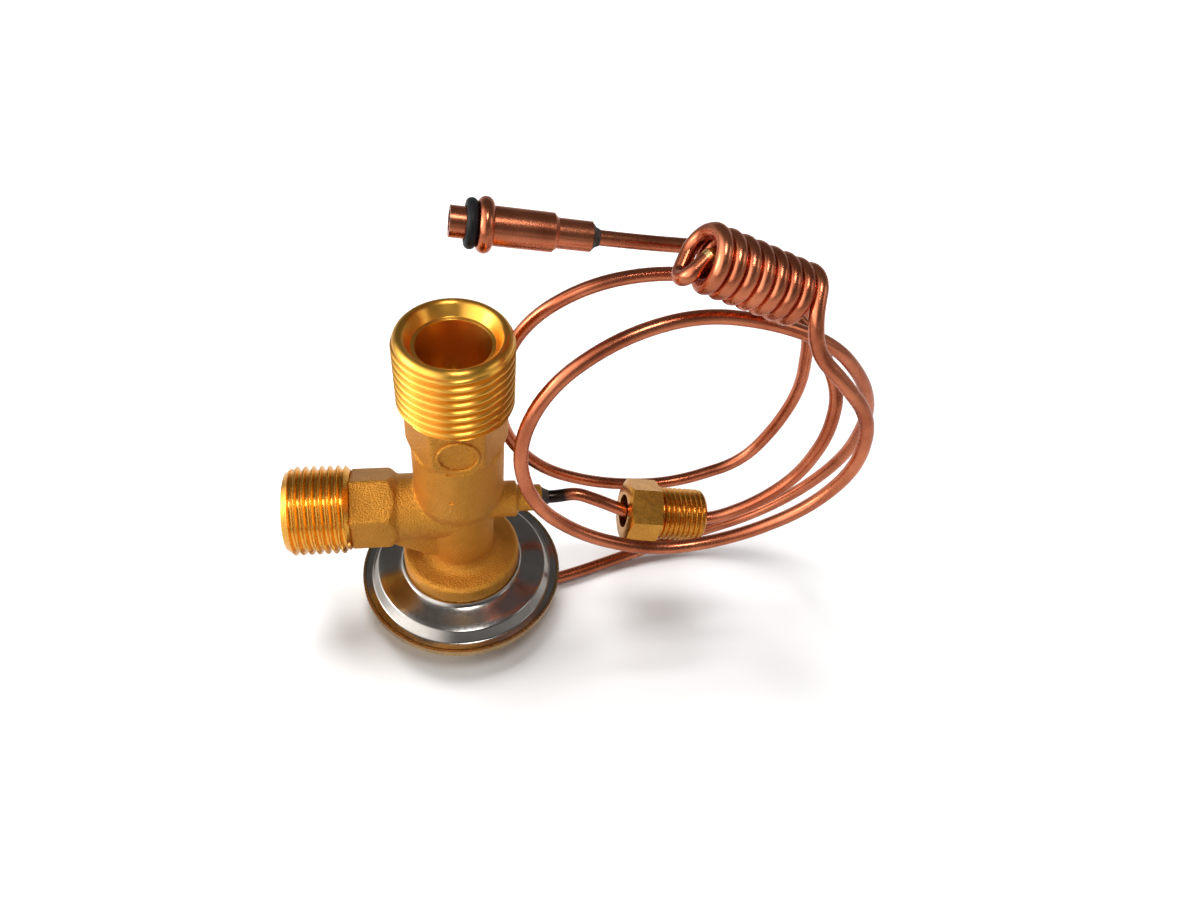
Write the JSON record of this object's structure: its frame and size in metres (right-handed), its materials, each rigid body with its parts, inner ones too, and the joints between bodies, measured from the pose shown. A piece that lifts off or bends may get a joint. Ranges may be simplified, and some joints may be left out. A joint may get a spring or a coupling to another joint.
{
  "type": "refrigerant expansion valve",
  "caption": "Brass right-angle refrigerant expansion valve with diaphragm head, wound copper sensing coil and equaliser line carrying a loose nut and a beaded coupling.",
  "frame": {"origin": "on the valve axis at the outer end of the full outlet thread", "axes": "+Z out of the outlet along the valve axis, -X out of the inlet, +X along the equaliser boss"},
  "size_m": [0.1062, 0.0386, 0.092],
  "materials": {
    "body_brass": "forged and machined",
    "valve_steel": "ground",
    "stem_brass": "turned",
    "spring_steel": "drawn wire",
    "seal_rubber": "matt",
    "strainer_steel": "punched",
    "cover_steel": "stamped",
    "cover_gold": "yellow plated, satin",
    "line_copper": "bare copper, satin",
    "braze_dark": "scorched",
    "braze_gold": "as run",
    "nut_brass": "turned"
  },
  "bodies": {
    "valve": {"valve_body": "body_brass", "orifice_seat": "valve_steel", "rod_seal_ring": "seal_rubber", "rod_seal_retainer": "stem_brass", "superheat_spring": "spring_steel", "spring_seat_ring": "valve_steel", "spring_plug": "stem_brass", "inlet_strainer": "strainer_steel", "head_upper_cover": "cover_steel", "head_lower_cover": "cover_gold", "head_diaphragm": "valve_steel", "capillary_tube": "line_copper", "capillary_braze": "braze_gold", "coil_end_seal": "braze_gold", "equaliser_tube": "line_copper", "equaliser_braze": "braze_dark", "coupling_stub": "line_copper", "coupling_braze": "braze_dark", "coupling_o_ring": "seal_rubber"},
    "stem": {"push_rod": "valve_steel", "valve_ball": "valve_steel", "ball_carrier": "stem_brass", "diaphragm_pad": "stem_brass"},
    "nut": {"tube_nut": "nut_brass"}
  },
  "joints": [
    {"name": "stem_lift", "type": "slide", "parent": "valve", "child": "stem", "axis": [0, 0, 1], "range_m": [0, 0.0008], "stiffness_N_per_m": 5000, "springref_m": -0.004, "deforming": ["superheat_spring"]},
    {"name": "nut_spin", "type": "hinge", "parent": "valve", "child": "nut", "pos_m": [0.0306, -0.0012, -0.0428], "axis": [0.9894, -0.026, -0.1432], "continuous": true}
  ]
}
